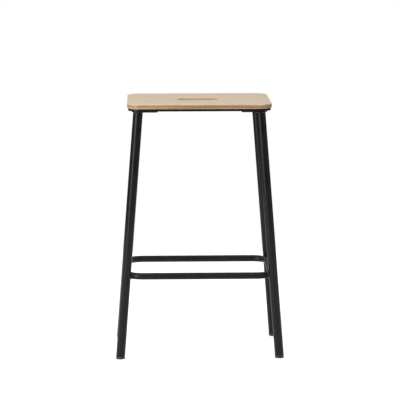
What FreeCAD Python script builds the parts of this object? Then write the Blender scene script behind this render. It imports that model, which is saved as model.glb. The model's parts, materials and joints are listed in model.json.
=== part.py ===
import FreeCAD, Part
import os

import Sketcher

# Counter-height bar stool: an oak seat panel on a black steel base plate, four splayed
# round tube legs welded to head plates, and a bent round-bar footrest inside the legs.
# Millimetres, +Z up, X across the seat's width, the front faces -Y, the feet stand on Z = 0.

SIZES = {
    # seat
    "seat_height": 650,
    "seat_width": 364,
    "seat_depth": 270,
    "seat_corner": 32,
    "panel_thick": 11,
    "panel_arris": 1.6,
    "base_thick": 6,
    "base_inset": 2.5,
    # hand slot through the panel and the base plate
    "slot_length": 110,
    "slot_width": 38,
    # steel head plate on each leg, and how far it passes the weld round the leg
    "head_length": 65,
    "head_width": 60,
    "head_thick": 3,
    "head_corner": 6,
    "head_margin": 2,
    # legs
    "leg_radius": 11.5,
    "leg_wall": 2,
    "leg_inset_x": 28,
    "leg_inset_y": 22,
    "splay_x": 49,
    "splay_y": 15,
    # plastic feet
    "foot_thick": 6,
    "foot_shank": 16,
    "foot_clearance": 0.2,
    # footrest
    "ring_height": 211.5,
    "ring_radius": 8.6,
    "ring_bend": 40,
    "ring_gap": 0.3,
    # weld beads
    "head_weld": 2.5,
    "ring_weld": 9,
    # countersunk screws and threaded inserts
    "screw_radius": 2.5,
    "screw_length": 16,
    "screw_inset": 12,
    "screw_head_radius": 4.9,
    "socket_radius": 1.73,
    "socket_deep": 1.6,
    "hole_clearance": 0.3,
    "sink_clearance": 0.1,
    "insert_radius": 4,
    "insert_length": 8,
    "insert_clearance": 0.1,
}

# Levels, worked out downwards from the top of the seat.
PANEL_BOTTOM = "(Sizes.seat_height - Sizes.panel_thick)"
BASE_BOTTOM = f"({PANEL_BOTTOM} - Sizes.base_thick)"
HEAD_BOTTOM = f"({BASE_BOTTOM} - Sizes.head_thick)"

# A countersunk head's cone runs out at 45 degrees from the shank.
SINK = "(Sizes.screw_head_radius - Sizes.screw_radius)"

# Distances from the stool's centre to a leg's axis, at the head plate and on the floor.
LEG_TOP_X = "(Sizes.seat_width / 2 - Sizes.leg_inset_x)"
LEG_TOP_Y = "(Sizes.seat_depth / 2 - Sizes.leg_inset_y)"
LEG_FLOOR_X = f"({LEG_TOP_X} + Sizes.splay_x)"
LEG_FLOOR_Y = f"({LEG_TOP_Y} + Sizes.splay_y)"
LEG_LEAN = "sqrt(Sizes.splay_x ^ 2 + Sizes.splay_y ^ 2)"
LEG_RUN = f"sqrt(Sizes.splay_x ^ 2 + Sizes.splay_y ^ 2 + {HEAD_BOTTOM} ^ 2)"
HEAD_REACH = "(Sizes.leg_radius + Sizes.head_weld + Sizes.head_margin)"
OVERRUN = 0.05  # share of its length by which a leg's blank passes both cuts

# The footrest's corner arcs lie against the legs on the diagonal, inside them.
RING_SHARE = f"(Sizes.ring_height / {HEAD_BOTTOM})"
LEG_RING_X = f"({LEG_FLOOR_X} - Sizes.splay_x * {RING_SHARE})"
LEG_RING_Y = f"({LEG_FLOOR_Y} - Sizes.splay_y * {RING_SHARE})"
REACH = "((Sizes.ring_bend + Sizes.ring_radius + Sizes.ring_gap + Sizes.leg_radius) / sqrt(2))"
BEND_X = f"({LEG_RING_X} - {REACH})"
BEND_Y = f"({LEG_RING_Y} - {REACH})"
TOUCH = "((Sizes.leg_radius + Sizes.ring_gap / 2) / sqrt(2))"

CORNERS = {
    "front_left": (-1, -1),
    "front_right": (1, -1),
    "rear_left": (-1, 1),
    "rear_right": (1, 1),
}


def make_sheet(doc):
    """Write the driving dimensions into a spreadsheet, one alias for each."""
    sheet = doc.addObject("Spreadsheet::Sheet", "Sizes")
    for row, (alias, value) in enumerate(SIZES.items(), start=1):
        sheet.set(f"A{row}", alias)
        sheet.set(f"B{row}", str(value))
        sheet.setAlias(f"B{row}", alias)
    doc.recompute()
    return sheet


def bind(item, **expressions):
    """Bind properties of a document object to expressions on the sheet."""
    for name, expression in expressions.items():
        item.setExpression(name, str(expression))


def place(item, x=0, y=0, z=0):
    """Bind the base of an object's placement."""
    for axis, expression in zip("xyz", (x, y, z)):
        item.setExpression(f"Placement.Base.{axis}", str(expression))


def add(doc, kind, name, **expressions):
    """Add a Part object and bind its sizes."""
    item = doc.addObject(kind, name)
    bind(item, **expressions)
    return item


def cylinder(doc, name, radius, length, x=0, y=0, z=0):
    """An upright cylinder that stands on the point x, y, z."""
    item = add(doc, "Part::Cylinder", name, Radius=radius, Height=length)
    place(item, x, y, z)
    return item


def combine(doc, kind, name, first, second):
    """A boolean of two objects."""
    item = doc.addObject(kind, name)
    item.Base = first
    item.Tool = second
    return item


def gather(doc, kind, name, shapes):
    """A fuse or a compound of several objects."""
    item = doc.addObject(kind, name)
    setattr(item, "Links" if kind == "Part::Compound" else "Shapes", shapes)
    return item


def slab(doc, name, bottom, thick):
    """A level slab, wider than the stool, that keeps what lies between two heights."""
    item = add(
        doc,
        "Part::Box",
        name,
        Length=f"4 * {LEG_FLOOR_X}",
        Width=f"4 * {LEG_FLOOR_Y}",
        Height=thick,
    )
    place(item, f"-2 * {LEG_FLOOR_X}", f"-2 * {LEG_FLOOR_Y}", bottom)
    return item


def new_sketch(body, name, x, y, z):
    """A sketch on the body's own XY plane, moved to x, y, z."""
    sketch = body.newObject("Sketcher::SketchObject", name)
    planes = body.Origin.OriginFeatures
    level = next(plane for plane in planes if plane.Role == "XY_Plane")
    sketch.AttachmentSupport = [(level, "")]
    sketch.MapMode = "FlatFace"
    for axis, expression in zip("xyz", (x, y, z)):
        sketch.setExpression(f"AttachmentOffset.Base.{axis}", str(expression))
    return sketch


def draw_rectangle(sketch, length, width):
    """A rectangle centred on the sketch's origin, with its two sizes bound."""
    corners = [(-50, -30), (50, -30), (50, 30), (-50, 30)]
    points = [FreeCAD.Vector(x, y, 0) for x, y in corners]
    for start, end in zip(points, points[1:] + points[:1]):
        sketch.addGeometry(Part.LineSegment(start, end), False)
    for side in range(4):
        sketch.addConstraint(Sketcher.Constraint("Coincident", side, 2, (side + 1) % 4, 1))
    for side, direction in enumerate(("Horizontal", "Vertical", "Horizontal", "Vertical")):
        sketch.addConstraint(Sketcher.Constraint(direction, side))
    sketch.addConstraint(Sketcher.Constraint("Symmetric", 0, 1, 2, 1, -1, 1))
    across = sketch.addConstraint(Sketcher.Constraint("DistanceX", 0, 1, 0, 2, 100))
    along = sketch.addConstraint(Sketcher.Constraint("DistanceY", 1, 1, 1, 2, 60))
    sketch.setExpression(f"Constraints[{across}]", length)
    sketch.setExpression(f"Constraints[{along}]", width)


def upright_edges(shape):
    """Names and places of the sharp edges that run straight up between two flat sides."""
    found = {}
    for number, edge in enumerate(shape.Edges, start=1):
        first, last = edge.Vertexes[0].Point, edge.Vertexes[-1].Point
        sides = shape.ancestorsOfType(edge, Part.Face)
        flat = all(isinstance(side.Surface, Part.Plane) for side in sides)
        if flat and abs(first.z - last.z) > 0.1:
            found[f"Edge{number}"] = first
    return found


def top_edges(shape):
    """Names of the edges that lie in the top face."""
    top = shape.BoundBox.ZMax
    return [
        f"Edge{number}"
        for number, edge in enumerate(shape.Edges, start=1)
        if edge.BoundBox.ZMin > top - 0.001
    ]


def round_edges(doc, body, name, edges, radius):
    """Round some edges of the body's last feature."""
    last = body.Tip
    rounding = body.newObject("PartDesign::Fillet", name)
    rounding.Base = (last, edges)
    bind(rounding, Radius=radius)
    body.Tip = rounding
    doc.recompute()


def square_plate(doc, name, length, width, thick, x=0, y=0, z=0):
    """A flat plate with sharp corners whose underside is centred on x, y, z."""
    body = doc.addObject("PartDesign::Body", name)
    sketch = new_sketch(body, f"{name}_outline", x, y, z)
    draw_rectangle(sketch, length, width)
    pad = body.newObject("PartDesign::Pad", f"{name}_pad")
    pad.Profile = sketch
    bind(pad, Length=thick)
    body.Tip = pad
    doc.recompute()
    return body


def seat_plate(doc, name, inset, thick, bottom):
    """A plate with the seat's outline, set in from its edge all round."""
    body = square_plate(
        doc,
        name,
        f"Sizes.seat_width - 2 * {inset}",
        f"Sizes.seat_depth - 2 * {inset}",
        thick,
        z=bottom,
    )
    corners = list(upright_edges(body.Tip.Shape))
    round_edges(doc, body, f"{name}_corners", corners, f"Sizes.seat_corner - {inset}")
    return body


def slot_tool(doc, name):
    """The hand slot with round ends, as a solid that passes the whole seat."""
    half = "(Sizes.slot_length - Sizes.slot_width) / 2"
    tall = f"Sizes.seat_height - {HEAD_BOTTOM} + Sizes.panel_thick"
    middle = add(
        doc,
        "Part::Box",
        f"{name}_middle",
        Length=f"2 * {half}",
        Width="Sizes.slot_width",
        Height=tall,
    )
    place(middle, f"-{half}", "-Sizes.slot_width / 2", HEAD_BOTTOM)
    ends = [
        cylinder(
            doc,
            f"{name}_end_{side}",
            "Sizes.slot_width / 2",
            tall,
            f"{sign} * {half}",
            0,
            HEAD_BOTTOM,
        )
        for side, sign in (("left", -1), ("right", 1))
    ]
    return gather(doc, "Part::MultiFuse", name, [middle] + ends)


def screw_places():
    """The three screws of each head plate: two at its inner end, one behind the leg."""
    outer_x = f"({LEG_TOP_X} + {HEAD_REACH} - Sizes.screw_inset)"
    inner_x = f"({LEG_TOP_X} + {HEAD_REACH} - Sizes.head_length + Sizes.screw_inset)"
    near_y = f"({LEG_TOP_Y} + {HEAD_REACH} - Sizes.screw_inset)"
    far_y = f"({LEG_TOP_Y} + {HEAD_REACH} - Sizes.head_width + Sizes.screw_inset)"
    for corner, (side, end) in CORNERS.items():
        spots = ((inner_x, near_y), (inner_x, far_y), (outer_x, far_y))
        for spot, (from_side, from_end) in enumerate(spots, start=1):
            yield f"{corner}_{spot}", f"{side} * {from_side}", f"{end} * {from_end}"


def column_group(doc, name, radius, length, bottom):
    """One upright cylinder at each screw, as one compound."""
    pieces = [
        cylinder(doc, f"{name}_{spot}", radius, length, x, y, bottom)
        for spot, x, y in screw_places()
    ]
    return gather(doc, "Part::Compound", name, pieces)


def make_seat(doc, nodes):
    """Oak panel and steel base plate, both with the hand slot."""
    panel = seat_plate(doc, "panel_blank", 0, "Sizes.panel_thick", PANEL_BOTTOM)
    rim = top_edges(panel.Shape)
    round_edges(doc, panel, "panel_blank_arris", rim, "Sizes.panel_arris")
    slot = slot_tool(doc, "hand_slot")
    slotted = combine(doc, "Part::Cut", "panel_slotted", panel, slot)
    holes = column_group(
        doc,
        "insert_holes",
        "Sizes.insert_radius + Sizes.insert_clearance",
        "Sizes.insert_length + Sizes.insert_clearance",
        PANEL_BOTTOM,
    )
    nodes["seat_panel"] = combine(doc, "Part::Cut", "seat_panel", slotted, holes)

    base = seat_plate(doc, "base_blank", "Sizes.base_inset", "Sizes.base_thick", BASE_BOTTOM)
    base_slotted = combine(doc, "Part::Cut", "base_slotted", base, slot)
    passages = column_group(
        doc,
        "screw_passages",
        "Sizes.screw_radius + Sizes.hole_clearance",
        "Sizes.base_thick + Sizes.head_thick",
        HEAD_BOTTOM,
    )
    nodes["seat_base_plate"] = combine(doc, "Part::Cut", "seat_base_plate", base_slotted, passages)
    return passages


def screw_cone(doc, name, x, y, clearance):
    """The cone of a countersunk head, with its wide end level with the head plate."""
    cone = add(
        doc,
        "Part::Cone",
        name,
        Radius1=f"Sizes.screw_head_radius + {clearance}",
        Radius2=f"Sizes.screw_radius + {clearance}",
        Height=SINK,
    )
    place(cone, x, y, HEAD_BOTTOM)
    return cone


def make_head_plates(doc, nodes, passages):
    """A steel plate on each leg, its outer corner round the leg, countersunk for its screws."""
    cones = [
        screw_cone(doc, f"sink_{spot}", x, y, "Sizes.sink_clearance")
        for spot, x, y in screw_places()
    ]
    sinks = gather(doc, "Part::Compound", "countersinks", cones)
    for corner, (side, end) in CORNERS.items():
        blank = square_plate(
            doc,
            f"{corner}_head_blank",
            "Sizes.head_length",
            "Sizes.head_width",
            "Sizes.head_thick",
            f"{side} * ({LEG_TOP_X} + {HEAD_REACH} - Sizes.head_length / 2)",
            f"{end} * ({LEG_TOP_Y} + {HEAD_REACH} - Sizes.head_width / 2)",
            HEAD_BOTTOM,
        )
        edges = upright_edges(blank.Tip.Shape)
        outermost = max(edges, key=lambda edge: side * edges[edge].x + end * edges[edge].y)
        round_edges(doc, blank, f"{corner}_outer_corner", [outermost], HEAD_REACH)
        others = list(upright_edges(blank.Tip.Shape))
        round_edges(doc, blank, f"{corner}_inner_corners", others, "Sizes.head_corner")
        drilled = combine(doc, "Part::Cut", f"{corner}_head_drilled", blank, passages)
        name = f"{corner}_head_plate"
        nodes[name] = combine(doc, "Part::Cut", name, drilled, sinks)


def leaning_cylinder(doc, name, side, end, radius):
    """A cylinder along a leg's axis that passes the head plate and the floor."""
    item = add(
        doc,
        "Part::Cylinder",
        name,
        Radius=radius,
        Height=f"(1 + 2 * {OVERRUN}) * {LEG_RUN}",
    )
    base = (
        f"vector({side} * ({LEG_FLOOR_X} + {OVERRUN} * Sizes.splay_x); "
        f"{end} * ({LEG_FLOOR_Y} + {OVERRUN} * Sizes.splay_y); -{OVERRUN} * {HEAD_BOTTOM})"
    )
    axis = f"vector({end} * Sizes.splay_y; {-side} * Sizes.splay_x; 0)"
    lean = f"atan2({LEG_LEAN}; {HEAD_BOTTOM})"
    item.setExpression("Placement", f"placement({base}; rotation({axis}; {lean}))")
    return item


def make_legs(doc, nodes):
    """Tubes cut level at both ends, their plastic feet and the weld under each head plate."""
    between = slab(doc, "leg_level", "Sizes.foot_thick", f"{HEAD_BOTTOM} - Sizes.foot_thick")
    on_floor = slab(doc, "foot_level", 0, "Sizes.foot_thick")
    in_tube = slab(doc, "shank_level", "Sizes.foot_thick", "Sizes.foot_shank")
    rods = {}
    for corner, (side, end) in CORNERS.items():
        rod = leaning_cylinder(doc, f"{corner}_rod", side, end, "Sizes.leg_radius")
        rods[corner] = rod
        bore = leaning_cylinder(
            doc, f"{corner}_bore", side, end, "Sizes.leg_radius - Sizes.leg_wall"
        )
        tube = combine(doc, "Part::Cut", f"{corner}_tube", rod, bore)
        name = f"{corner}_leg"
        nodes[name] = combine(doc, "Part::Common", name, tube, between)

        sole = combine(doc, "Part::Common", f"{corner}_sole", rod, on_floor)
        core = leaning_cylinder(
            doc,
            f"{corner}_core",
            side,
            end,
            "Sizes.leg_radius - Sizes.leg_wall - Sizes.foot_clearance",
        )
        shank = combine(doc, "Part::Common", f"{corner}_shank", core, in_tube)
        name = f"{corner}_foot"
        nodes[name] = gather(doc, "Part::MultiFuse", name, [sole, shank])

        collar = add(
            doc,
            "Part::Cone",
            f"{corner}_collar",
            Radius1="Sizes.leg_radius + Sizes.head_weld / 4",
            Radius2="Sizes.leg_radius + Sizes.head_weld",
            Height="Sizes.head_weld",
        )
        place(
            collar,
            f"{side} * {LEG_TOP_X}",
            f"{end} * {LEG_TOP_Y}",
            f"{HEAD_BOTTOM} - Sizes.head_weld",
        )
        name = f"{corner}_head_weld"
        nodes[name] = combine(doc, "Part::Cut", name, collar, rod)
    return rods


def make_ring(doc, nodes, rods):
    """The closed footrest bar with a quarter bend at each leg, and its four welds."""
    bars = []
    for side, name in ((-1, "front"), (1, "rear")):
        bar = cylinder(doc, f"ring_{name}", "Sizes.ring_radius", f"2 * {BEND_X}")
        place(bar, f"-{BEND_X}", f"{side} * ({BEND_Y} + Sizes.ring_bend)", "Sizes.ring_height")
        bar.Placement.Rotation = FreeCAD.Rotation(FreeCAD.Vector(0, 1, 0), 90)
        bars.append(bar)
    for side, name in ((-1, "left"), (1, "right")):
        bar = cylinder(doc, f"ring_{name}", "Sizes.ring_radius", f"2 * {BEND_Y}")
        place(bar, f"{side} * ({BEND_X} + Sizes.ring_bend)", f"{BEND_Y}", "Sizes.ring_height")
        bar.Placement.Rotation = FreeCAD.Rotation(FreeCAD.Vector(1, 0, 0), 90)
        bars.append(bar)
    quarter_turns = {"rear_right": 0, "rear_left": 90, "front_left": 180, "front_right": 270}
    for corner, (side, end) in CORNERS.items():
        bend = add(
            doc,
            "Part::Torus",
            f"{corner}_bend",
            Radius1="Sizes.ring_bend",
            Radius2="Sizes.ring_radius",
        )
        bend.Angle3 = 90
        place(bend, f"{side} * {BEND_X}", f"{end} * {BEND_Y}", "Sizes.ring_height")
        bend.Placement.Rotation = FreeCAD.Rotation(
            FreeCAD.Vector(0, 0, 1), quarter_turns[corner]
        )
        bars.append(bend)
    ring = gather(doc, "Part::MultiFuse", "footrest_ring", bars)
    ring.Refine = True
    nodes["footrest_ring"] = ring

    for corner, (side, end) in CORNERS.items():
        blob = add(doc, "Part::Sphere", f"{corner}_blob", Radius="Sizes.ring_weld")
        place(
            blob,
            f"{side} * ({LEG_RING_X} - {TOUCH})",
            f"{end} * ({LEG_RING_Y} - {TOUCH})",
            "Sizes.ring_height",
        )
        clear = combine(doc, "Part::Cut", f"{corner}_blob_on_ring", blob, ring)
        name = f"{corner}_ring_weld"
        nodes[name] = combine(doc, "Part::Cut", name, clear, rods[corner])


def make_fasteners(doc, nodes):
    """Countersunk socket screws, flush with the head plates, and inserts in the oak."""
    screws = []
    for spot, x, y in screw_places():
        shank = cylinder(
            doc, f"shank_{spot}", "Sizes.screw_radius", "Sizes.screw_length", x, y, HEAD_BOTTOM
        )
        head = screw_cone(doc, f"screw_head_{spot}", x, y, 0)
        whole = gather(doc, "Part::MultiFuse", f"screw_{spot}", [shank, head])
        socket = add(
            doc,
            "Part::Prism",
            f"socket_{spot}",
            Circumradius="Sizes.socket_radius",
            Height="Sizes.socket_deep",
        )
        place(socket, x, y, HEAD_BOTTOM)
        screws.append(combine(doc, "Part::Cut", f"socket_screw_{spot}", whole, socket))
    nodes["seat_screws"] = gather(doc, "Part::Compound", "seat_screws", screws)

    bodies = column_group(
        doc, "insert_bodies", "Sizes.insert_radius", "Sizes.insert_length", PANEL_BOTTOM
    )
    bores = column_group(
        doc,
        "insert_bores",
        "Sizes.screw_radius + Sizes.insert_clearance",
        "Sizes.insert_length",
        PANEL_BOTTOM,
    )
    nodes["threaded_inserts"] = combine(doc, "Part::Cut", "threaded_inserts", bodies, bores)


def check(doc, nodes):
    """Stop if an object failed or a sub-part has no valid solid."""
    for item in doc.Objects:
        if "Invalid" in item.State or "Error" in item.State:
            raise RuntimeError(f"{item.Name} failed: {item.State}")
    for name, item in nodes.items():
        shape = item.Shape
        if shape.isNull() or not shape.isValid() or not shape.Solids:
            raise RuntimeError(f"{name} has no valid solid")


def main():
    doc = FreeCAD.newDocument("BarStool")
    make_sheet(doc)
    nodes = {}
    passages = make_seat(doc, nodes)
    make_head_plates(doc, nodes, passages)
    rods = make_legs(doc, nodes)
    make_ring(doc, nodes, rods)
    make_fasteners(doc, nodes)
    doc.recompute()
    for name, item in nodes.items():
        item.Label = name
    check(doc, nodes)
    os.makedirs("parts", exist_ok=True)
    for name, item in nodes.items():
        item.Shape.exportStep(f"parts/{name}.step")
        print(name, len(item.Shape.Solids), round(item.Shape.Volume, 1))


main()
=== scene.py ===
import json
import math

import bmesh
import bpy
from mathutils import Matrix, Vector


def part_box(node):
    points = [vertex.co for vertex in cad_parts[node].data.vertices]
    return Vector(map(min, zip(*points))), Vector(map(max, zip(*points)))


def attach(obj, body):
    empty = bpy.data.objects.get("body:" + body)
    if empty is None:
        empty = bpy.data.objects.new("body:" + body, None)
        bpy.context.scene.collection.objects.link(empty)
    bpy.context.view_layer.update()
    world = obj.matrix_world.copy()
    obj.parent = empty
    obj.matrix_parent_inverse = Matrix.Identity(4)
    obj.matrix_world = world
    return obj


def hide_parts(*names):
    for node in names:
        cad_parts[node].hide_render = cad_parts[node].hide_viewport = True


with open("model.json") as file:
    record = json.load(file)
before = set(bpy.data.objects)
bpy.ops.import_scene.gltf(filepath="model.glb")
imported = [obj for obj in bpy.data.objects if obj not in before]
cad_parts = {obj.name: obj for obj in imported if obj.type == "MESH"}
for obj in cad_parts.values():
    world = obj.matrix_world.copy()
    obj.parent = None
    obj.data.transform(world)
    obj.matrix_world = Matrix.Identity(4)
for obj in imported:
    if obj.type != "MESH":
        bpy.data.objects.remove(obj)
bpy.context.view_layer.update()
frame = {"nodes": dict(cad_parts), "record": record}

bl_info = {
    "name": "Counter stool",
    "version": (1, 0, 0),
    "blender": (4, 5, 0),
    "location": "View3D > Sidebar > Stool",
    "description": "Builds the visible pieces of a counter stool around its packed frame",
    "category": "Add Mesh",
}

BODY = "root"
SIDES = ("front_left", "front_right", "rear_left", "rear_right")
SHARP = math.radians(32)
MM = 0.001

# How close points are merged, in metres: in a lathed loop, a finished piece and an outline.
LOOP_MERGE = 1e-7
PIECE_MERGE = 1e-6
OUTLINE_MERGE = 1e-5

# Segments of round shapes, and of one corner or bend.
TUBE_STEPS = 96
FOOT_STEPS = 80
BAR_STEPS = 40
BEND_STEPS = 20
HOLE_STEPS = 32
CORNER_STEPS = 16
SCREW_STEPS = 48
INSERT_STEPS = 36
FLOOR_STEPS = 96
POINTS_PER_RIPPLE = 8

# A face's normal along Z: below LEVEL_OFF it stands upright, above LEVEL_ON it lies level.
LEVEL_OFF = 0.1
LEVEL_ON = 0.9

WHITE = (1.0, 1.0, 1.0, 1.0)
SENSOR_WIDTH = 36.0
CLIP_END = 200.0


# ---------------------------------------------------------------- places, from the frame


def box_middle(node):
    """Middle of a node's box."""
    low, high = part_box(node)
    return (low + high) / 2


def floor_point(side):
    """Where a leg's axis meets the floor, from the mount under its foot."""
    name = f"{side}_floor_face"
    mount = next(m for m in frame["record"]["mounts"] if m["name"] == name)
    return Vector(mount["pos_m"])


def head_point(side):
    """Where a leg's axis meets the underside of its head plate."""
    point = box_middle(f"{side}_head_weld")
    point.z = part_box(f"{side}_head_weld")[1].z
    return point


def leaning(side):
    """Leans an upright shape, made round Z at its real height, along a leg's axis."""
    start = floor_point(side)
    slope = head_point(side) - start
    slope /= slope.z
    lean = Vector((slope.x, slope.y, 0.0))
    stretch = slope.length - 1.0
    matrix = Matrix.Identity(4)
    for row in range(2):
        for column in range(2):
            matrix[row][column] += stretch * lean[row] * lean[column] / lean.length_squared
        matrix[row][2] = slope[row]
        matrix[row][3] = start[row]
    return matrix


def tube_radii(side):
    """Inner and outer radius of a leg, measured from its axis."""
    start = floor_point(side)
    along = (head_point(side) - start).normalized()
    spans = [
        (v.co - start).cross(along).length for v in frame["nodes"][f"{side}_leg"].data.vertices
    ]
    return min(spans), max(spans)


# ---------------------------------------------------------------- mesh helpers


def finish_piece(name, bm, material, node):
    """Turn a bmesh into the named piece that stands for a CAD node."""
    bmesh.ops.remove_doubles(bm, verts=bm.verts, dist=PIECE_MERGE)
    bmesh.ops.recalc_face_normals(bm, faces=bm.faces)
    mesh = bpy.data.meshes.new(name)
    bm.to_mesh(mesh)
    bm.free()
    mesh.shade_smooth()
    mesh.set_sharp_from_angle(angle=SHARP)
    mesh.materials.append(material)
    piece = bpy.data.objects.new(name, mesh)
    bpy.context.scene.collection.objects.link(piece)
    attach(piece, BODY)
    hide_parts(node)


def ring_of(bm, segments):
    """A circle of edges round Z, in order of angle."""
    made = bmesh.ops.create_circle(bm, segments=segments, radius=1.0, cap_ends=False)
    return made["verts"]


def shape_loop(verts, radius, height):
    """Put a loop's vertices at a height and a radius, which may depend on the angle."""
    for vert in verts:
        angle = math.atan2(vert.co.y, vert.co.x)
        reach = radius(angle) if callable(radius) else radius
        vert.co = Vector((reach * math.cos(angle), reach * math.sin(angle), height))


def lathe(levels, segments, closed=False, placing=Matrix()):
    """Extrude a circle through levels of (radius, height), then cap or close it."""
    bm = bmesh.new()
    loop = ring_of(bm, segments)
    first = loop
    shape_loop(loop, *levels[0])
    edges = list(bm.edges)
    for level in levels[1:]:
        made = bmesh.ops.extrude_edge_only(bm, edges=edges)["geom"]
        loop = [item for item in made if isinstance(item, bmesh.types.BMVert)]
        edges = [item for item in made if isinstance(item, bmesh.types.BMEdge)]
        edges = [edge for edge in edges if all(v in set(loop) for v in edge.verts)]
        shape_loop(loop, *level)
    if closed:
        bmesh.ops.remove_doubles(bm, verts=bm.verts, dist=LOOP_MERGE)
    else:
        bmesh.ops.contextual_create(bm, geom=first)
        bmesh.ops.contextual_create(bm, geom=loop)
    bmesh.ops.transform(bm, matrix=placing, verts=bm.verts)
    return bm


def join_into(target, bm):
    """Add one bmesh to another."""
    mesh = bpy.data.meshes.new("part")
    bm.to_mesh(mesh)
    bm.free()
    target.from_mesh(mesh)
    bpy.data.meshes.remove(mesh)


def rounded_outline(bm, low, high, radii, height):
    """Edges of a rectangle with a round corner of each radius, anticlockwise from low x, low y."""
    corners = ((low.x, low.y), (high.x, low.y), (high.x, high.y), (low.x, high.y))
    verts = [bm.verts.new((x, y, height)) for x, y in corners]
    bm.faces.new(verts)
    for vert, radius in zip(verts, radii):
        bmesh.ops.bevel(
            bm,
            geom=[vert],
            offset=radius,
            offset_type="OFFSET",
            affect="VERTICES",
            segments=CORNER_STEPS,
            profile=0.5,
            material=-1,
        )
    bmesh.ops.delete(bm, geom=list(bm.faces), context="FACES_ONLY")


def slot_outline(bm, length, width, height):
    """Edges of a slot with round ends, centred on the origin."""
    half = Vector((length / 2, width / 2, 0.0))
    just_short = 0.9999
    rounded_outline(bm, -half, half, [half.y * just_short] * 4, height)


def hole_outline(bm, point, radius, height):
    """Edges of a round hole."""
    place = Matrix.Translation((point.x, point.y, height))
    bmesh.ops.create_circle(bm, segments=HOLE_STEPS, radius=radius, cap_ends=False, matrix=place)


def plate_from_outlines(bm, low, high):
    """Fill between the outlines at low and raise the plate to high."""
    bmesh.ops.remove_doubles(bm, verts=bm.verts, dist=OUTLINE_MERGE)
    bmesh.ops.triangle_fill(
        bm, use_beauty=True, use_dissolve=False, edges=list(bm.edges), normal=(0, 0, 1)
    )
    raised = bmesh.ops.extrude_face_region(bm, geom=list(bm.faces))["geom"]
    top = [item for item in raised if isinstance(item, bmesh.types.BMVert)]
    bmesh.ops.translate(bm, verts=top, vec=(0, 0, high - low))
    bmesh.ops.recalc_face_normals(bm, faces=bm.faces)


def ease_rims(bm, rims, offset, segments=4):
    """Bevel rims: one segment makes a flat chamfer, more make a round."""
    bmesh.ops.bevel(
        bm,
        geom=rims,
        offset=offset,
        offset_type="OFFSET",
        affect="EDGES",
        segments=segments,
        profile=0.5,
        material=-1,
    )


def is_rim(edge):
    """Whether a level face meets an upright one at an edge."""
    if len(edge.link_faces) != 2:
        return False
    ups = sorted(abs(face.normal.z) for face in edge.link_faces)
    return ups[0] < LEVEL_OFF and ups[1] > LEVEL_ON


def rims_of(bm):
    """Every rim of a plate."""
    return [edge for edge in bm.edges if is_rim(edge)]


# ---------------------------------------------------------------- materials


class Recipe:
    """Short calls that add nodes to a material's tree and join them."""

    def __init__(self, name):
        self.material = bpy.data.materials.new(name)
        self.material.use_nodes = True
        self.tree = self.material.node_tree
        self.shader = self.tree.nodes["Principled BSDF"]
        self.place = self.add("ShaderNodeTexCoord").outputs["Object"]

    def add(self, kind, inputs=(), **settings):
        """A node with its settings and its inputs, each a value or an output socket."""
        node = self.tree.nodes.new(kind)
        for name, value in settings.items():
            setattr(node, name, value)
        for key, value in dict(inputs).items():
            self.feed(node.inputs[key], value)
        return node

    def feed(self, socket, value):
        """Join an output to a socket, or set the socket's value."""
        if isinstance(value, bpy.types.NodeSocket):
            self.tree.links.new(value, socket)
        else:
            socket.default_value = value

    def math(self, operation, first, second=0.0, third=0.0):
        """A Math node's result."""
        inputs = {0: first, 1: second, 2: third}
        return self.add("ShaderNodeMath", inputs, operation=operation).outputs[0]

    def stretched(self, scale, shift=(0, 0, 0)):
        """The object's coordinates, scaled along each axis."""
        inputs = {"Vector": self.place, "Scale": scale, "Location": shift}
        return self.add("ShaderNodeMapping", inputs).outputs[0]

    def noise(self, vector, scale, detail=2.0, roughness=0.5):
        """A noise texture's value."""
        inputs = {
            "Vector": vector,
            "Scale": scale,
            "Detail": detail,
            "Roughness": roughness,
        }
        return self.add("ShaderNodeTexNoise", inputs).outputs["Fac"]

    def ramp(self, value, low, high, start=0.0, end=1.0):
        """Map a value's range to another range, held at both ends."""
        inputs = {"Value": value, 1: low, 2: high, 3: start, 4: end}
        return self.add("ShaderNodeMapRange", inputs, clamp=True).outputs[0]

    def blend(self, share, first, second, mode="MIX"):
        """A colour between two colours."""
        node = self.add("ShaderNodeMix", data_type="RGBA", blend_type=mode)
        for socket, value in zip((0, 6, 7), (share, first, second)):
            self.feed(node.inputs[socket], value)
        return node.outputs[2]

    def bump(self, height, strength, distance):
        """A normal that follows a height."""
        inputs = {"Height": height, "Strength": strength, "Distance": distance}
        return self.add("ShaderNodeBump", inputs).outputs[0]

    def shade(self, **sockets):
        """Set the shader's sockets by name, with underscores for spaces."""
        for name, value in sockets.items():
            self.feed(self.shader.inputs[name.replace("_", " ")], value)
        return self.material


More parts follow.
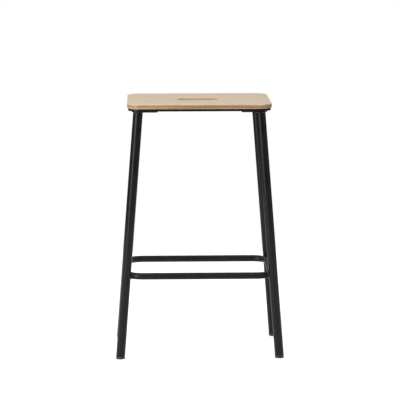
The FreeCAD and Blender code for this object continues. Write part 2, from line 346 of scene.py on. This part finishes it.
def oak_material(settings):
    """Oiled oak boards, with growth lines, fibres and pores that run along X."""
    made = Recipe("Oiled oak")
    split = made.add("ShaderNodeSeparateXYZ", {0: made.place}).outputs
    along, across, up = split[0], split[1], split[2]
    board = made.math("FLOOR", made.math("DIVIDE", across, settings.board_width))
    tone = made.add("ShaderNodeTexWhiteNoise", {"W": board}, noise_dimensions="1D").outputs[0]

    # Growth rings round a pith far below the boards, pulled about by slow noise.
    drift = made.noise(made.stretched((2.2, 9.0, 9.0)), 1.6, 3.0, 0.55)
    sway = made.noise(made.stretched((9.0, 60.0, 60.0), (3.1, 1.7, 0.4)), 1.0, 2.0)
    side = made.math("ADD", across, made.math("MULTIPLY", tone, 0.31))
    deep = made.math("ADD", up, made.math("MULTIPLY_ADD", tone, -0.06, -0.52))
    reach = made.math(
        "SQRT",
        made.math("ADD", made.math("MULTIPLY", side, side), made.math("MULTIPLY", deep, deep)),
    )
    rings = made.math("MULTIPLY_ADD", drift, 0.034, reach)
    rings = made.math("MULTIPLY_ADD", sway, 0.0016, rings)
    wave = made.math("FRACT", made.math("MULTIPLY", rings, settings.rings_per_metre))
    late = made.ramp(made.math("POWER", wave, 2.6), 0.05, 0.95)

    fibre = made.noise(made.stretched((14.0, 900.0, 900.0)), 1.0, 4.0, 0.65)
    streak = made.noise(made.stretched((3.0, 150.0, 150.0), (0.7, 0.2, 0.9)), 1.0, 3.0, 0.6)
    pores = made.noise(made.stretched((55.0, 1900.0, 1900.0)), 1.0, 1.0, 0.4)
    pores = made.math("MULTIPLY", made.ramp(pores, 0.60, 0.72), made.ramp(late, 0.15, 0.9, 0.25))

    colour = made.blend(late, tuple(settings.early_wood), tuple(settings.late_wood))
    pale = made.ramp(streak, 0.35, 0.70)
    colour = made.blend(made.math("MULTIPLY", pale, 0.30), colour, tuple(settings.pale_streak))
    dusk = made.ramp(fibre, 0.30, 0.75, 0.0, 0.22)
    colour = made.blend(dusk, colour, tuple(settings.dark_fibre))
    colour = made.blend(made.math("MULTIPLY", pores, 0.55), colour, tuple(settings.pore))
    board_tint = made.ramp(tone, 0.0, 1.0, 0.0, 0.16)
    colour = made.blend(board_tint, colour, tuple(settings.late_wood))

    # The upright faces are multiplied by a darker, warmer edge colour: painted shade for the dimmer
    # light on the edges and the slot wall. Long lens-shaped streaks of grain darken them further.
    facing = made.add("ShaderNodeNewGeometry").outputs["Normal"]
    facing = made.add("ShaderNodeSeparateXYZ", {0: facing})
    upright = made.math("SUBTRACT", 1.0, made.math("ABSOLUTE", facing.outputs[2]))
    edge = made.ramp(upright, 0.45, 0.95, 0.0, settings.edge_shade_depth)
    colour = made.blend(edge, colour, tuple(settings.edge_shade_tone), "MULTIPLY")
    lens = made.noise(made.stretched((5.0, 5.0, 170.0), (0.3, 0.0, 0.2)), 1.0, 2.0, 0.5)
    lens = made.math("MULTIPLY", made.ramp(lens, 0.44, 0.60), edge)
    share = made.math("MULTIPLY", lens, 0.75)
    colour = made.blend(share, colour, tuple(settings.edge_streak), "MULTIPLY")

    rough = made.math("MULTIPLY_ADD", fibre, 0.16, 0.44)
    relief = made.math("MULTIPLY_ADD", fibre, 0.45, made.math("MULTIPLY", pores, -1.0))
    normal = made.bump(relief, 0.35, 0.00025)
    return made.shade(
        Base_Color=colour,
        Roughness=rough,
        Normal=normal,
        Specular_IOR_Level=0.35,
        Coat_Weight=0.06,
        Coat_Roughness=0.42,
    )


def powder_coat_material(settings):
    """Satin black powder coat: a fine orange-peel skin with rubbed and dusty patches."""
    made = Recipe("Black powder coat")
    patches = made.noise(made.place, 22.0, 4.0, 0.6)
    speckle = made.noise(made.place, 900.0, 2.0, 0.6)
    rub = made.noise(made.stretched((60.0, 60.0, 9.0)), 1.0, 5.0, 0.7)
    rubbed = made.ramp(rub, 0.56, 0.74)
    colour = made.blend(
        made.ramp(patches, 0.35, 0.7), tuple(settings.coat_dark), tuple(settings.coat_light)
    )
    colour = made.blend(made.math("MULTIPLY", rubbed, 0.35), colour, tuple(settings.coat_rubbed))
    rough = made.ramp(patches, 0.3, 0.75, settings.coat_rough - 0.05, settings.coat_rough + 0.06)
    rough = made.math("MULTIPLY_ADD", rubbed, -0.07, rough)
    rough = made.math("MULTIPLY_ADD", speckle, 0.05, rough)
    peel = made.noise(made.place, 800.0, 2.0, 0.5)
    normal = made.bump(peel, 0.04, 0.00005)
    return made.shade(Base_Color=colour, Roughness=rough, Normal=normal, Specular_IOR_Level=0.16)


def foot_material(settings):
    """Glossy moulded plastic, a little scuffed where it meets the floor."""
    made = Recipe("Black foot plastic")
    grain = made.noise(made.place, 1400.0, 2.0, 0.6)
    marks = made.noise(made.stretched((700.0, 90.0, 500.0)), 1.0, 3.0, 0.7)
    height = made.add("ShaderNodeSeparateXYZ", {0: made.place}).outputs[2]
    low = made.ramp(height, 0.0, 2.6 * MM, 1.0, 0.0)
    scuffed = made.math("MULTIPLY", low, made.ramp(marks, 0.48, 0.66))
    colour = made.blend(scuffed, tuple(settings.foot_black), tuple(settings.foot_scuff))
    rough = made.math("MULTIPLY_ADD", grain, 0.12, 0.24)
    rough = made.math("MULTIPLY_ADD", scuffed, 0.3, rough)
    normal = made.bump(grain, 0.12, 0.00006)
    return made.shade(Base_Color=colour, Roughness=rough, Normal=normal, Specular_IOR_Level=0.5)


def black_oxide_material(settings):
    """Black oxide on steel, oily and a little worn."""
    made = Recipe("Black oxide")
    wear = made.noise(made.place, 650.0, 4.0, 0.65)
    worn = made.ramp(wear, 0.56, 0.74, 0.0, 0.35)
    colour = made.blend(worn, tuple(settings.oxide_dark), tuple(settings.oxide_worn))
    rough = made.ramp(wear, 0.3, 0.75, 0.48, 0.32)
    normal = made.bump(wear, 0.15, 0.0001)
    return made.shade(Base_Color=colour, Metallic=1.0, Roughness=rough, Normal=normal)


def zinc_material(settings):
    """Zinc plate with faint spangle and turning marks."""
    made = Recipe("Zinc plate")
    spangle = made.add("ShaderNodeTexVoronoi", {"Vector": made.place, "Scale": 900.0})
    tint = made.ramp(spangle.outputs["Distance"], 0.0, 0.8)
    colour = made.blend(tint, tuple(settings.zinc_dark), tuple(settings.zinc_light))
    haze = made.noise(made.place, 240.0, 4.0, 0.6)
    rough = made.ramp(haze, 0.3, 0.75, 0.26, 0.42)
    normal = made.bump(haze, 0.12, 0.0001)
    return made.shade(Base_Color=colour, Metallic=1.0, Roughness=rough, Normal=normal)


def floor_material(settings):
    """Plain pale studio floor with a barely visible mottle."""
    made = Recipe("Pale floor")
    mottle = made.noise(made.place, 3.0, 2.0, 0.5)
    pale = tuple(settings.floor_colour)
    shaded = (0.8, 0.8, 0.8, 1.0)
    colour = made.blend(made.math("MULTIPLY", mottle, 0.02), pale, shaded)
    return made.shade(Base_Color=colour, Roughness=0.85, Specular_IOR_Level=0.1)


MAKERS = {
    "oak": oak_material,
    "black_coat": powder_coat_material,
    "black_plastic": foot_material,
    "black_steel": black_oxide_material,
    "zinc_steel": zinc_material,
}
MADE = {}


def finish_for(slot):
    """The material of a record slot, made once."""
    if slot not in MADE:
        MADE[slot] = MAKERS[slot](bpy.context.scene.stool_finish)
    return MADE[slot]


# ---------------------------------------------------------------- settings


def length_setting(name, note, value):
    """A length in metres."""
    return bpy.props.FloatProperty(
        name=name, description=note, default=value, min=0.0, unit="LENGTH", precision=5
    )


def colour_setting(name, note, red, green, blue):
    """A colour with an opaque alpha."""
    return bpy.props.FloatVectorProperty(
        name=name,
        description=note,
        subtype="COLOR",
        size=4,
        min=0.0,
        max=1.0,
        default=(red, green, blue, 1.0),
    )


class StoolSizes(bpy.types.PropertyGroup):
    """Sizes of the details that the frame's boxes don't give."""

    seat_corner: length_setting("Seat corner", "Radius of the seat's corners in plan", 32 * MM)
    panel_arris: length_setting("Panel edge", "Rounding of the oak panel's edges", 1.6 * MM)
    plate_arris: length_setting("Plate edge", "Rounding of the steel plates' edges", 0.7 * MM)
    slot_length: length_setting("Slot length", "Length of the hand slot", 110 * MM)
    slot_width: length_setting("Slot width", "Width of the hand slot", 38 * MM)
    head_corner: length_setting("Head corner", "Radius of a head plate's inner corners", 6 * MM)
    ring_bend: length_setting("Ring bend", "Bend radius of the footrest's centre line", 40 * MM)
    bead: length_setting("Head bead", "Leg length of the weld under a head plate", 2.5 * MM)
    ripple: length_setting("Bead ripple", "Height of the ripples on a weld bead", 0.15 * MM)
    screw_inset: length_setting("Screw inset", "From a head plate's edge to a screw", 12 * MM)
    screw_radius: length_setting("Screw shank", "Radius of a screw's shank", 2.5 * MM)
    screw_head: length_setting("Screw head", "Radius of a countersunk head", 4.9 * MM)
    socket_half: length_setting("Socket", "Half the width across a socket's flats", 1.5 * MM)
    socket_deep: length_setting("Socket depth", "Depth of a screw's socket", 1.6 * MM)
    hole_clearance: length_setting("Hole clearance", "Between a hole and its screw", 0.3 * MM)
    sink_clearance: length_setting("Sink clearance", "Between a sink and its screw", 0.1 * MM)
    insert_radius: length_setting("Insert", "Outer radius of a threaded insert", 4 * MM)
    insert_clearance: length_setting("Insert bore", "Between an insert and its screw", 0.1 * MM)


class StoolFinish(bpy.types.PropertyGroup):
    """Colours and tones of the finishes."""

    board_width: length_setting("Board width", "Width of the oak boards in the panel", 91 * MM)
    rings_per_metre: bpy.props.FloatProperty(
        name="Growth rings", description="Growth rings in a metre of oak", default=185.0, min=1.0
    )
    # Edge depth sets the strength of the painted shade on the oak's upright faces.
    edge_shade_depth: bpy.props.FloatProperty(
        name="Edge depth",
        description="How far the sawn edges are tinted",
        default=0.9,
        min=0.0,
        max=1.0,
        subtype="FACTOR",
    )
    early_wood: colour_setting("Early wood", "Pale part of a growth ring", 0.46, 0.366, 0.259)
    late_wood: colour_setting("Late wood", "Dark part of a growth ring", 0.36, 0.268, 0.178)
    pale_streak: colour_setting("Pale streak", "Pale streaks along the grain", 0.525, 0.437, 0.326)
    dark_fibre: colour_setting("Dark fibre", "Fine fibres along the grain", 0.32, 0.225, 0.14)
    pore: colour_setting("Pore", "Open pores", 0.20, 0.125, 0.07)
    # Edge tone is the colour of the painted shade on the oak's upright faces.
    edge_shade_tone: colour_setting("Edge tone", "Tint of the sawn edges", 0.60, 0.50, 0.35)
    edge_streak: colour_setting("Edge streak", "Streaks in the sawn edges", 0.62, 0.50, 0.42)
    coat_dark: colour_setting("Coat, dark", "Darker patches of coat", 0.0045, 0.0039, 0.0031)
    coat_light: colour_setting("Coat, light", "Lighter patches of coat", 0.0066, 0.0059, 0.0049)
    coat_rubbed: colour_setting("Coat, rubbed", "Coat where it is rubbed", 0.012, 0.0115, 0.0105)
    coat_rough: bpy.props.FloatProperty(
        name="Coat roughness",
        description="Mean roughness of the powder coat",
        default=0.35,
        min=0.1,
        max=0.9,
        subtype="FACTOR",
    )
    foot_black: colour_setting("Foot", "Plastic of the feet", 0.006, 0.0055, 0.005)
    foot_scuff: colour_setting("Foot scuff", "Scuffed plastic near the floor", 0.016, 0.0155, 0.015)
    oxide_dark: colour_setting("Oxide, dark", "Black oxide on the screws", 0.05, 0.05, 0.052)
    oxide_worn: colour_setting("Oxide, worn", "Worn black oxide", 0.12, 0.12, 0.12)
    zinc_dark: colour_setting("Zinc, dark", "Darker zinc plate", 0.42, 0.42, 0.43)
    zinc_light: colour_setting("Zinc, light", "Lighter zinc plate", 0.62, 0.62, 0.63)
    floor_colour: colour_setting("Floor", "Studio floor", 0.95, 0.95, 0.95)


class StoolStage(bpy.types.PropertyGroup):
    """The camera's place and the strength of the lights."""

    camera_place: bpy.props.FloatVectorProperty(
        name="Camera place",
        description="Where the camera stands",
        default=(-0.1506, -5.398, 1.2459),
        subtype="TRANSLATION",
    )
    camera_turn: bpy.props.FloatVectorProperty(
        name="Camera turn",
        description="Angle down from level, angle to the right, and roll",
        default=(0.15762, 0.02863, -0.001),
        subtype="EULER",
    )
    camera_lens: bpy.props.FloatProperty(
        name="Lens", description="Focal length in millimetres", default=190.6, min=10.0
    )
    key_power: bpy.props.FloatProperty(
        name="Key", description="Watts of the large soft key light", default=14.0, min=0.0
    )
    left_power: bpy.props.FloatProperty(
        name="Left strip", description="Watts of the left strip light", default=88.0, min=0.0
    )
    right_power: bpy.props.FloatProperty(
        name="Right strip", description="Watts of the right strip light", default=12.0, min=0.0
    )
    floor_radius: length_setting("Floor", "Radius of the floor", 1.4)
    sky_low: bpy.props.FloatProperty(
        name="Sky, low", description="Strength of the sky below the horizon", default=0.04, min=0.0
    )
    sky_high: bpy.props.FloatProperty(
        name="Sky, high", description="Strength of the sky overhead", default=1.65, min=0.0
    )


# ---------------------------------------------------------------- operators


class STOOL_OT_seat_panel(bpy.types.Operator):
    """Build the oak seat panel with its hand slot"""

    bl_idname = "stool.seat_panel"
    bl_label = "Oak seat panel"
    bl_options = {"REGISTER", "UNDO"}

    def execute(self, context):
        sizes = context.scene.stool_sizes
        low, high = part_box("seat_panel")
        bm = bmesh.new()
        rounded_outline(bm, low, high, [sizes.seat_corner] * 4, low.z)
        slot_outline(bm, sizes.slot_length, sizes.slot_width, low.z)
        plate_from_outlines(bm, low.z, high.z)
        ease_rims(bm, rims_of(bm), sizes.panel_arris)
        finish_piece("oak_seat", bm, finish_for("oak"), "seat_panel")
        return {"FINISHED"}


class STOOL_OT_base_plate(bpy.types.Operator):
    """Build the steel plate under the oak"""

    bl_idname = "stool.base_plate"
    bl_label = "Base plate"
    bl_options = {"REGISTER", "UNDO"}

    def execute(self, context):
        sizes = context.scene.stool_sizes
        low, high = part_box("seat_base_plate")
        bm = bmesh.new()
        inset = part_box("seat_panel")[1].x - high.x
        rounded_outline(bm, low, high, [sizes.seat_corner - inset] * 4, low.z)
        slot_outline(bm, sizes.slot_length, sizes.slot_width, low.z)
        plate_from_outlines(bm, low.z, high.z)
        ease_rims(bm, rims_of(bm), sizes.plate_arris)
        finish_piece("base_plate", bm, finish_for("black_coat"), "seat_base_plate")
        return {"FINISHED"}


class STOOL_OT_head_plates(bpy.types.Operator):
    """Build the countersunk steel plate on top of each leg"""

    bl_idname = "stool.head_plates"
    bl_label = "Head plates"
    bl_options = {"REGISTER", "UNDO"}

    def execute(self, context):
        sizes = context.scene.stool_sizes
        hole = sizes.screw_radius + sizes.hole_clearance
        anticlockwise = ("front_left", "front_right", "rear_right", "rear_left")
        for side in SIDES:
            node = f"{side}_head_plate"
            low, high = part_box(node)
            radii = [sizes.head_corner] * 4
            outer = anticlockwise.index(side)
            radii[outer] = max(abs(low.x), abs(high.x)) - abs(head_point(side).x)
            bm = bmesh.new()
            rounded_outline(bm, low, high, radii, low.z)
            points = screw_points(sizes, side)
            for point in points:
                hole_outline(bm, point, hole, low.z)
            plate_from_outlines(bm, low.z, high.z)
            mouths = [edge for edge in rims_of(bm) if is_mouth(edge, points, hole, low.z)]
            sink = sizes.screw_head + sizes.sink_clearance - hole
            ease_rims(bm, mouths, sink, segments=1)
            outline = [edge for edge in rims_of(bm) if not near_hole(edge, points, hole + sink)]
            ease_rims(bm, outline, sizes.plate_arris)
            finish_piece(f"{side}_plate", bm, finish_for("black_coat"), node)
        return {"FINISHED"}


def near_hole(edge, points, radius):
    """Whether an edge lies within about a radius of one of the holes' axes."""
    slack = 1.05
    middle = (edge.verts[0].co + edge.verts[1].co) / 2
    return any((middle.xy - point.xy).length < radius * slack for point in points)


def is_mouth(edge, points, radius, height):
    """Whether a rim is the lower end of a hole."""
    slack = 0.1 * MM
    return near_hole(edge, points, radius) and abs(edge.verts[0].co.z - height) < slack


class STOOL_OT_legs(bpy.types.Operator):
    """Build the leaning tubes, cut level at both ends and deburred at the floor"""

    bl_idname = "stool.legs"
    bl_label = "Legs"
    bl_options = {"REGISTER", "UNDO"}

    def execute(self, context):
        burr = 0.4 * MM
        for side in SIDES:
            node = f"{side}_leg"
            low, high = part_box(node)
            inner, outer = tube_radii(side)
            levels = [
                (inner, low.z),
                (outer - burr, low.z),
                (outer - burr * 0.3, low.z + burr * 0.3),
                (outer, low.z + burr),
                (outer, high.z),
                (inner, high.z),
                (inner, low.z),
            ]
            bm = lathe(levels, TUBE_STEPS, closed=True, placing=leaning(side))
            finish_piece(f"{side}_tube", bm, finish_for("black_coat"), node)
        return {"FINISHED"}


class STOOL_OT_head_welds(bpy.types.Operator):
    """Build the rippled weld bead between each leg and its head plate"""

    bl_idname = "stool.head_welds"
    bl_label = "Head welds"
    bl_options = {"REGISTER", "UNDO"}

    def execute(self, context):
        sizes = context.scene.stool_sizes
        steps = 7
        ripples = 34
        twist = 0.35
        hollow = 0.8
        bite = 1.2 * MM
        for side in SIDES:
            node = f"{side}_head_weld"
            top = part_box(node)[1].z
            outer = tube_radii(side)[1]
            root = outer - bite
            levels = [(root, top)]
            for step in range(steps + 1):
                turn = math.pi / 2 * step / steps
                reach = outer + sizes.bead * (1 - math.sin(turn)) ** hollow
                fall = sizes.bead * (1 - math.cos(turn)) ** hollow
                crest = sizes.ripple * math.sin(math.pi * step / steps)
                radius = rippled(reach + crest, crest, ripples, twist * step)
                levels.append((radius, top - fall))
            levels.append((root, top - sizes.bead))
            levels.append((root, top))
            segments = ripples * POINTS_PER_RIPPLE
            bm = lathe(levels, segments, closed=True, placing=leaning(side))
            finish_piece(f"{side}_head_bead", bm, finish_for("black_coat"), node)
        return {"FINISHED"}


def rippled(radius, height, count, phase):
    """A radius that rises and falls round the axis."""
    return lambda angle: radius + height * math.sin(count * angle + phase)


class STOOL_OT_footrest(bpy.types.Operator):
    """Build the closed footrest from straight runs and quarter bends of one round bar"""

    bl_idname = "stool.footrest"
    bl_label = "Footrest"
    bl_options = {"REGISTER", "UNDO"}

    def execute(self, context):
        bend = context.scene.stool_sizes.ring_bend
        low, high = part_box("footrest_ring")
        radius = (high.z - low.z) / 2
        height = (high.z + low.z) / 2
        half_x = high.x - radius
        half_y = high.y - radius
        pivot_x = half_x - bend
        pivot_y = half_y - bend

        bm = bmesh.new()
        bmesh.ops.create_circle(bm, segments=BAR_STEPS, radius=radius, cap_ends=False)
        upright = Matrix.Translation((-pivot_x, -half_y, height)) @ Matrix.Rotation(
            math.pi / 2, 4, "Y"
        )
        bmesh.ops.transform(bm, matrix=upright, verts=bm.verts)
        end = list(bm.verts) + list(bm.edges)
        runs = (
            ((2 * pivot_x, 0, 0), (pivot_x, -pivot_y, height)),
            ((0, 2 * pivot_y, 0), (pivot_x, pivot_y, height)),
            ((-2 * pivot_x, 0, 0), (-pivot_x, pivot_y, height)),
            ((0, -2 * pivot_y, 0), (-pivot_x, -pivot_y, height)),
        )
        for run, pivot in runs:
            edges = [item for item in end if isinstance(item, bmesh.types.BMEdge)]
            made = bmesh.ops.extrude_edge_only(bm, edges=edges)["geom"]
            verts = [item for item in made if isinstance(item, bmesh.types.BMVert)]
            bmesh.ops.translate(bm, verts=verts, vec=run)
            ring = {
                item
                for item in made
                if isinstance(item, bmesh.types.BMEdge) and all(v in verts for v in item.verts)
            }
            end = bmesh.ops.spin(
                bm,
                geom=verts + list(ring),
                cent=pivot,
                axis=(0, 0, 1),
                angle=math.pi / 2,
                steps=BEND_STEPS,
                use_duplicate=False,
            )["geom_last"]
        bmesh.ops.remove_doubles(bm, verts=bm.verts, dist=OUTLINE_MERGE)
        finish_piece("footrest_bar", bm, finish_for("black_coat"), "footrest_ring")
        return {"FINISHED"}


class STOOL_OT_ring_welds(bpy.types.Operator):
    """Build the rippled weld collar between the footrest and each leg"""

    bl_idname = "stool.ring_welds"
    bl_label = "Footrest welds"
    bl_options = {"REGISTER", "UNDO"}

    def execute(self, context):
        ripple = context.scene.stool_sizes.ripple
        steps = 12
        ripples = 22
        twist = 0.5
        flatness = 0.8
        fullness = 0.85
        pole_gap = 0.04
        for side in SIDES:
            node = f"{side}_ring_weld"
            low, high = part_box(node)
            start = floor_point(side)
            slope = head_point(side) - start
            height = (low.z + high.z) / 2
            axis_point = start + slope * (height / slope.z)
            out = Vector((math.copysign(1, axis_point.x), math.copysign(1, axis_point.y), 0.0))
            out.normalize()
            touch = axis_point - out * tube_radii(side)[1]
            reach = (high.z - low.z) / 2
            thick = reach * flatness
            levels = []
            for step in range(steps + 1):
                turn = math.pi * (pole_gap + (1 - 2 * pole_gap) * step / steps)
                radius = reach * math.sin(turn) ** fullness
                crest = ripple * math.sin(turn)
                bulge = rippled(radius, crest, ripples, twist * step)
                levels.append((bulge, -thick * math.cos(turn)))
            placing = Matrix.Translation(touch) @ out.to_track_quat("Z", "Y").to_matrix().to_4x4()
            bm = lathe(levels, ripples * POINTS_PER_RIPPLE, placing=placing)
            finish_piece(f"{side}_ring_bead", bm, finish_for("black_coat"), node)
        return {"FINISHED"}


class STOOL_OT_feet(bpy.types.Operator):
    """Build the ribbed plastic foot in the end of each leg"""

    bl_idname = "stool.feet"
    bl_label = "Feet"
    bl_options = {"REGISTER", "UNDO"}

    def execute(self, context):
        ribs = 4
        ease = 0.7 * MM
        clearance = 0.2 * MM
        rib_height = 0.9 * MM
        bare_ends = 2 * MM
        tip = 0.6 * MM
        for side in SIDES:
            node = f"{side}_foot"
            low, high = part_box(node)
            inner, outer = tube_radii(side)
            tube_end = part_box(f"{side}_leg")[0].z
            core = inner - clearance
            neck = core - rib_height
            levels = [
                (outer - ease * 1.6, low.z),
                (outer - ease, low.z + ease * 0.08),
                (outer - ease * 0.3, low.z + ease * 0.4),
                (outer, low.z + ease),
                (outer, tube_end - 0.9 * MM),
                (outer - 0.35 * MM, tube_end - 0.5 * MM),
                (outer - 0.5 * MM, tube_end),
                (neck, tube_end),
            ]
            pitch = (high.z - tube_end - bare_ends) / ribs
            for rib in range(ribs):
                start = tube_end + pitch * (rib + 0.35)
                levels += [(neck, start), (core, start + pitch * 0.1)]
                levels += [(core, start + pitch * 0.35), (neck, start + pitch * 0.6)]
            levels += [(neck, high.z - tip), (neck - tip, high.z)]
            bm = lathe(levels, FOOT_STEPS, placing=leaning(side))
            name = f"{side}_foot_plug"
            finish_piece(name, bm, finish_for("black_plastic"), node)
        return {"FINISHED"}


def hexagon(half_width):
    """The radius of a six-sided socket at each angle."""
    sixth = math.pi / 3
    return lambda angle: half_width / math.cos((angle % sixth) - sixth / 2)


def screw_points(sizes, side):
    """Centres of a head plate's three screws: two at its inner end, one behind the leg."""
    low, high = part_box(f"{side}_head_plate")
    inset = sizes.screw_inset
    right = math.copysign(1, high.x + low.x)
    rear = math.copysign(1, high.y + low.y)
    outer_x, inner_x = (high.x, low.x) if right > 0 else (low.x, high.x)
    end_y, near_y = (high.y, low.y) if rear > 0 else (low.y, high.y)
    return [
        Vector((inner_x + right * inset, end_y - rear * inset, 0.0)),
        Vector((inner_x + right * inset, near_y + rear * inset, 0.0)),
        Vector((outer_x - right * inset, near_y + rear * inset, 0.0)),
    ]


def at_each_screw(sizes, levels, segments, closed=False):
    """One mesh with a lathed shape at every screw."""
    whole = bmesh.new()
    for side in SIDES:
        for point in screw_points(sizes, side):
            join_into(whole, lathe(levels, segments, closed, Matrix.Translation(point)))
    return whole


class STOOL_OT_screws(bpy.types.Operator):
    """Build the countersunk socket screws"""

    bl_idname = "stool.screws"
    bl_label = "Screws"
    bl_options = {"REGISTER", "UNDO"}

    def execute(self, context):
        sizes = context.scene.stool_sizes
        low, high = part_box("seat_screws")
        shank = sizes.screw_radius
        head = sizes.screw_head
        point = 0.7 * MM
        land = 0.15 * MM
        floor = low.z + sizes.socket_deep
        socket = hexagon(sizes.socket_half)
        levels = [
            (shank - point, high.z),
            (shank, high.z - point),
            (shank, low.z + head - shank),
            (head - land, low.z + land),
            (head - land, low.z + land * 0.4),
            (head - land * 1.6, low.z),
            (hexagon(sizes.socket_half + land), low.z),
            (socket, low.z + land),
            (socket, floor),
            (sizes.socket_half * 0.3, floor + sizes.socket_half * 0.2),
        ]
        bm = at_each_screw(sizes, levels, SCREW_STEPS)
        finish_piece("plate_screws", bm, finish_for("black_steel"), "seat_screws")
        return {"FINISHED"}


class STOOL_OT_inserts(bpy.types.Operator):
    """Build the ridged inserts that hold the screws in the oak"""

    bl_idname = "stool.inserts"
    bl_label = "Threaded inserts"
    bl_options = {"REGISTER", "UNDO"}

    def execute(self, context):
        sizes = context.scene.stool_sizes
        low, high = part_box("threaded_inserts")
        bore = sizes.screw_radius + sizes.insert_clearance
        ridge_height = 0.6 * MM
        crest = sizes.insert_radius
        valley = crest - ridge_height
        ridges = 5
        pitch = (high.z - low.z) / ridges
        levels = [(bore, low.z), (valley, low.z)]
        for ridge in range(ridges):
            start = low.z + pitch * ridge
            levels += [(crest, start + pitch * 0.4), (crest, start + pitch * 0.6)]
            levels.append((valley, start + pitch))
        levels += [(bore, high.z), (bore, low.z)]
        bm = at_each_screw(sizes, levels, INSERT_STEPS, closed=True)
        finish_piece("oak_inserts", bm, finish_for("zinc_steel"), "threaded_inserts")
        return {"FINISHED"}


class STOOL_OT_stage(bpy.types.Operator):
    """Lay the floor, hang the lights and set the camera"""

    bl_idname = "stool.stage"
    bl_label = "Stage"
    bl_options = {"REGISTER", "UNDO"}

    def execute(self, context):
        scene = context.scene
        self.lay_floor(scene)
        self.light_room(scene)
        self.place_camera(scene)
        scene.view_settings.view_transform = "Standard"
        return {"FINISHED"}

    def lay_floor(self, scene):
        """A round floor that ends where the white surround takes over."""
        bm = bmesh.new()
        radius = scene.stool_stage.floor_radius
        bmesh.ops.create_circle(bm, segments=FLOOR_STEPS, radius=radius, cap_ends=True)
        mesh = bpy.data.meshes.new("studio_floor")
        bm.to_mesh(mesh)
        bm.free()
        mesh.materials.append(floor_material(scene.stool_finish))
        floor = bpy.data.objects.new("studio_floor", mesh)
        scene.collection.objects.link(floor)

    def light_room(self, scene):
        """A large soft light above, two side strips and a sky that brightens upwards.

        The strips cast no shadow, so the floor stays clean, and the background is plain white.
        """
        stage = scene.stool_stage
        target = Vector((0.0, 0.0, 0.4))
        lights = (
            ("key", (-0.6, -0.5, 2.6), (2.4, 2.4), stage.key_power),
            ("left_strip", (-2.1, -2.0, 0.9), (0.55, 2.4), stage.left_power),
            ("right_strip", (2.6, -1.0, 0.8), (0.3, 2.2), stage.right_power),
        )
        for name, place, (width, height), power in lights:
            lamp = bpy.data.lights.new(name, "AREA")
            lamp.shape = "RECTANGLE"
            lamp.size = width
            lamp.size_y = height
            lamp.energy = power
            lamp.use_shadow = name == "key"
            holder = bpy.data.objects.new(name, lamp)
            holder.location = place
            holder.rotation_euler = (target - Vector(place)).to_track_quat("-Z", "Y").to_euler()
            scene.collection.objects.link(holder)
        world = bpy.data.worlds.new("studio")
        world.use_nodes = True
        tree = world.node_tree
        sky = tree.nodes["Background"]
        sky.inputs["Color"].default_value = WHITE
        place = tree.nodes.new("ShaderNodeTexCoord")
        split = tree.nodes.new("ShaderNodeSeparateXYZ")
        rise = tree.nodes.new("ShaderNodeMapRange")
        rise.inputs["From Min"].default_value = -0.05
        rise.inputs["To Min"].default_value = stage.sky_low
        rise.inputs["To Max"].default_value = stage.sky_high
        tree.links.new(place.outputs["Generated"], split.inputs[0])
        tree.links.new(split.outputs[2], rise.inputs["Value"])
        tree.links.new(rise.outputs[0], sky.inputs["Strength"])
        seen = tree.nodes.new("ShaderNodeBackground")
        seen.inputs["Strength"].default_value = 1.0
        seen.inputs["Color"].default_value = WHITE
        mix = tree.nodes.new("ShaderNodeMixShader")
        path = tree.nodes.new("ShaderNodeLightPath")
        tree.links.new(path.outputs["Is Camera Ray"], mix.inputs[0])
        tree.links.new(sky.outputs[0], mix.inputs[1])
        tree.links.new(seen.outputs[0], mix.inputs[2])
        tree.links.new(mix.outputs[0], tree.nodes["World Output"].inputs["Surface"])
        scene.world = world

    def place_camera(self, scene):
        """A long lens from above the seat's height, a little to the left and turned down."""
        stage = scene.stool_stage
        lens = bpy.data.cameras.new("camera")
        lens.lens = stage.camera_lens
        lens.sensor_width = SENSOR_WIDTH
        lens.clip_end = CLIP_END
        camera = bpy.data.objects.new("camera", lens)
        down, right, roll = stage.camera_turn
        turn = (
            Matrix.Rotation(-right, 4, "Z")
            @ Matrix.Rotation(math.pi / 2 - down, 4, "X")
            @ Matrix.Rotation(roll, 4, "Z")
        )
        camera.matrix_world = Matrix.Translation(stage.camera_place) @ turn
        scene.collection.objects.link(camera)
        scene.camera = camera


class STOOL_PT_panel(bpy.types.Panel):
    """The stool's operators in the sidebar"""

    bl_idname = "STOOL_PT_panel"
    bl_label = "Counter stool"
    bl_space_type = "VIEW_3D"
    bl_region_type = "UI"
    bl_category = "Stool"

    def draw(self, context):
        for operator in OPERATORS:
            self.layout.operator(operator.bl_idname)


OPERATORS = (
    STOOL_OT_stage,
    STOOL_OT_seat_panel,
    STOOL_OT_base_plate,
    STOOL_OT_head_plates,
    STOOL_OT_legs,
    STOOL_OT_head_welds,
    STOOL_OT_footrest,
    STOOL_OT_ring_welds,
    STOOL_OT_feet,
    STOOL_OT_screws,
    STOOL_OT_inserts,
)
GROUPS = {"stool_sizes": StoolSizes, "stool_finish": StoolFinish, "stool_stage": StoolStage}


def register():
    for group in GROUPS.values():
        bpy.utils.register_class(group)
    for name, group in GROUPS.items():
        setattr(bpy.types.Scene, name, bpy.props.PointerProperty(type=group))
    for operator in OPERATORS:
        bpy.utils.register_class(operator)
    bpy.utils.register_class(STOOL_PT_panel)


def unregister():
    bpy.utils.unregister_class(STOOL_PT_panel)
    for operator in reversed(OPERATORS):
        bpy.utils.unregister_class(operator)
    for name, group in GROUPS.items():
        delattr(bpy.types.Scene, name)
        bpy.utils.unregister_class(group)


def main():
    register()
    for operator in OPERATORS:
        group, name = operator.bl_idname.split(".")
        getattr(getattr(bpy.ops, group), name)()


if __name__ == "__main__":
    main()
